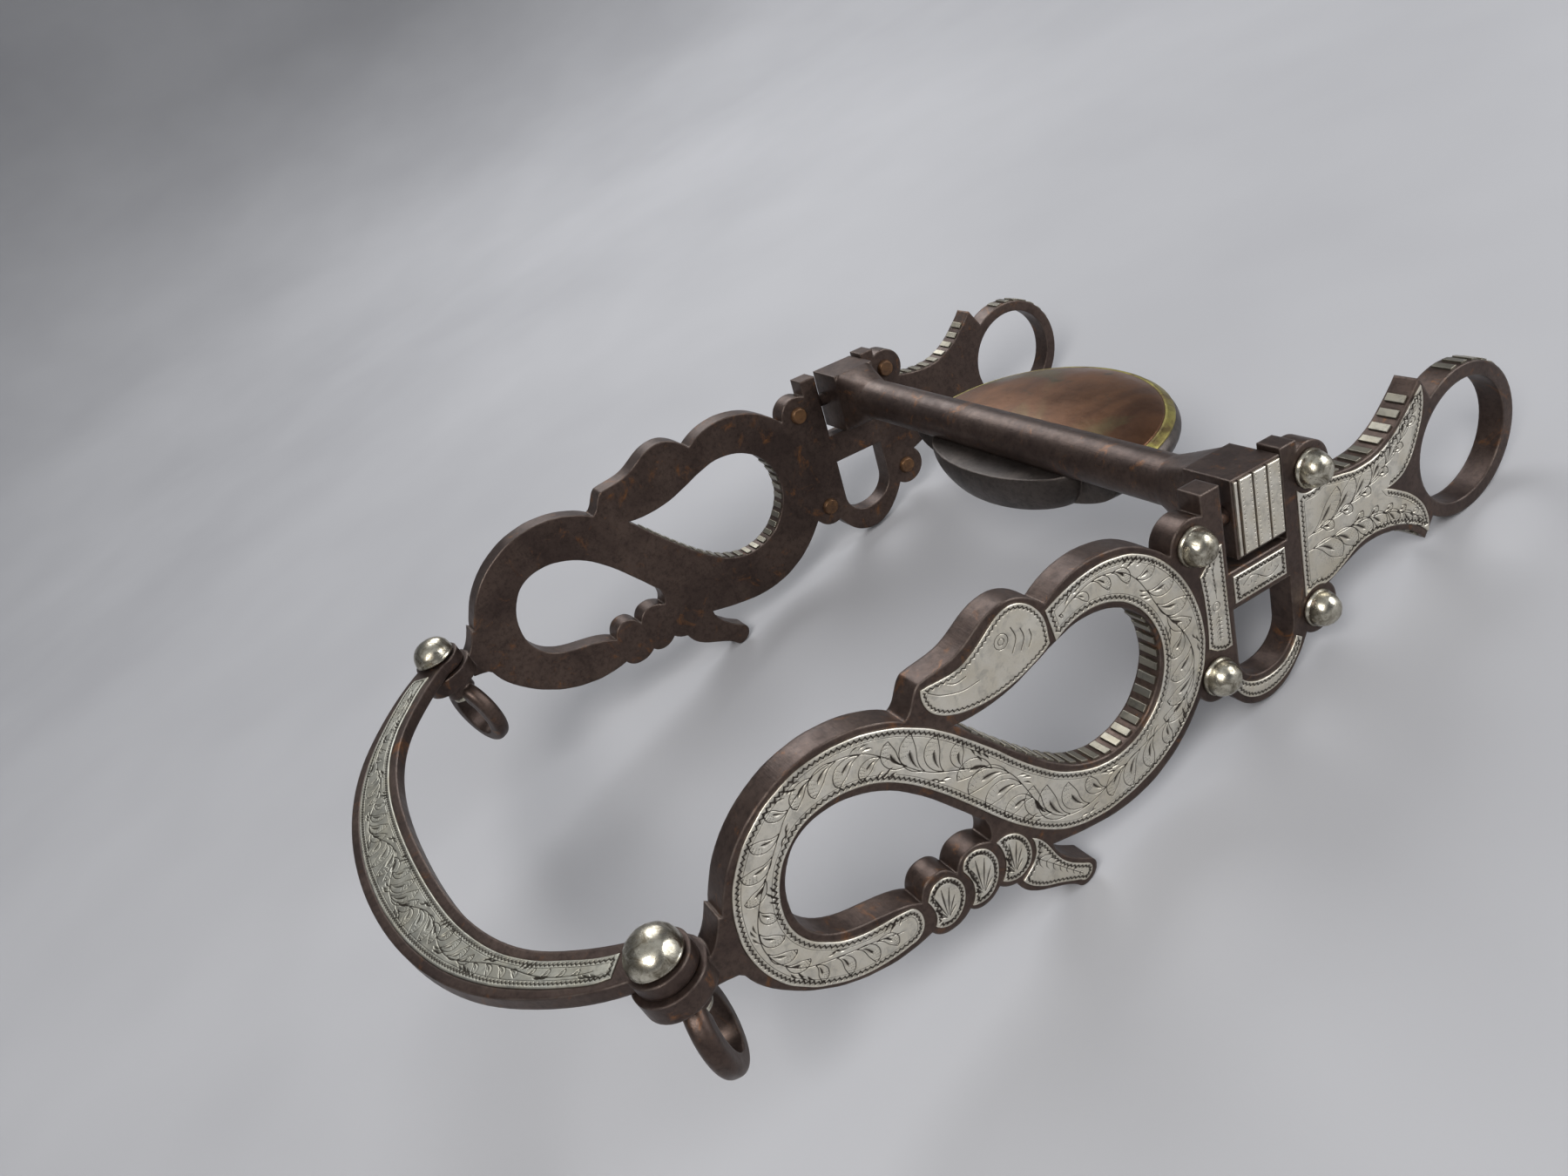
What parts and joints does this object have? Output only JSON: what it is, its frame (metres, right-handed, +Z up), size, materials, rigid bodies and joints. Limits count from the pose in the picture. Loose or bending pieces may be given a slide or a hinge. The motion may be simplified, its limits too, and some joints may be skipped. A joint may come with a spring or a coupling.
{
  "type": "curb bit",
  "caption": "Loose-jaw curb bit with silver-inlaid rattlesnake shanks, straight mouthpiece with copper spoon, bowed slobber bar and swivelling rein loops.",
  "frame": {"origin": "middle of the footprint, on the surface the bit stands on", "axes": "+X towards the near (left) cheek, +Y from the rein end towards the headstall rings, +Z up with the bit standing on its rattle buttons and headstall rings"},
  "size_m": [0.1466, 0.2234, 0.0629],
  "materials": {
    "steel": "brown patina, worn",
    "steel_dark": "dark patina",
    "silver": "engraved, lightly tarnished",
    "silver_dark": "tarnished, hand-worn",
    "copper": "aged copper",
    "brass": "brazing, tarnished"
  },
  "bodies": {
    "mouthpiece": {"mouthpiece_bar": "steel", "near_block_silver": "silver", "off_block_silver": "silver", "spoon_shell": "copper", "spoon_seam": "brass", "spoon_cup": "steel_dark"},
    "near_shank": {"near_cheek": "steel", "near_snake_silver": "silver", "near_head_silver": "silver", "near_rattle_silver": "silver", "near_button_silver": "silver", "near_strap_silver": "silver", "near_crossbar_silver": "silver", "near_curb_silver": "silver", "near_purchase_silver": "silver", "near_neck_strips": "silver", "near_purchase_strips": "silver", "near_ring_strips": "silver", "near_conchos": "silver_dark", "near_rivets": "copper", "near_hinge_pin": "steel", "near_swivel_rivet": "silver_dark"},
    "off_shank": {"off_cheek": "steel", "off_snake_silver": "silver", "off_head_silver": "silver", "off_rattle_silver": "silver", "off_button_silver": "silver", "off_strap_silver": "silver", "off_crossbar_silver": "silver", "off_curb_silver": "silver", "off_purchase_silver": "silver", "off_neck_strips": "silver", "off_purchase_strips": "silver", "off_ring_strips": "silver", "off_conchos": "silver_dark", "off_rivets": "copper", "off_hinge_pin": "steel", "off_swivel_rivet": "silver_dark"},
    "slobber": {"slobber_bar": "steel", "slobber_silver": "silver"},
    "near_loop": {"near_rein_loop": "steel"},
    "off_loop": {"off_rein_loop": "steel"}
  },
  "joints": [
    {"name": "near_jaw_hinge", "type": "hinge", "parent": "mouthpiece", "child": "near_shank", "pos_m": [0.0665, 0.03863, 0.0406], "axis": [0, 0.9681, -0.2507], "range_deg": [-3.5, 3.5]},
    {"name": "off_jaw_hinge", "type": "hinge", "parent": "mouthpiece", "child": "off_shank", "pos_m": [-0.0665, 0.03863, 0.0406], "axis": [0, 0.9681, -0.2507], "range_deg": [-3.5, 3.5]},
    {"name": "slobber_rock", "type": "hinge", "parent": "near_shank", "child": "slobber", "pos_m": [0.0658, -0.07649, 0.04913], "axis": [0, 0.9681, -0.2507], "range_deg": [-3.5, 3.5]},
    {"name": "near_rein_swivel", "type": "hinge", "parent": "near_shank", "child": "near_loop", "pos_m": [0.0658, -0.07644, 0.05098], "axis": [0, 0.0264, 0.9997], "continuous": true},
    {"name": "off_rein_swivel", "type": "hinge", "parent": "off_shank", "child": "off_loop", "pos_m": [-0.0658, -0.07644, 0.05098], "axis": [0, 0.0264, 0.9997], "continuous": true}
  ],
  "couplings": [
    {"joint": "off_jaw_hinge", "follows": "near_jaw_hinge", "ratio": 1},
    {"joint": "slobber_rock", "follows": "near_jaw_hinge", "ratio": -1}
  ]
}
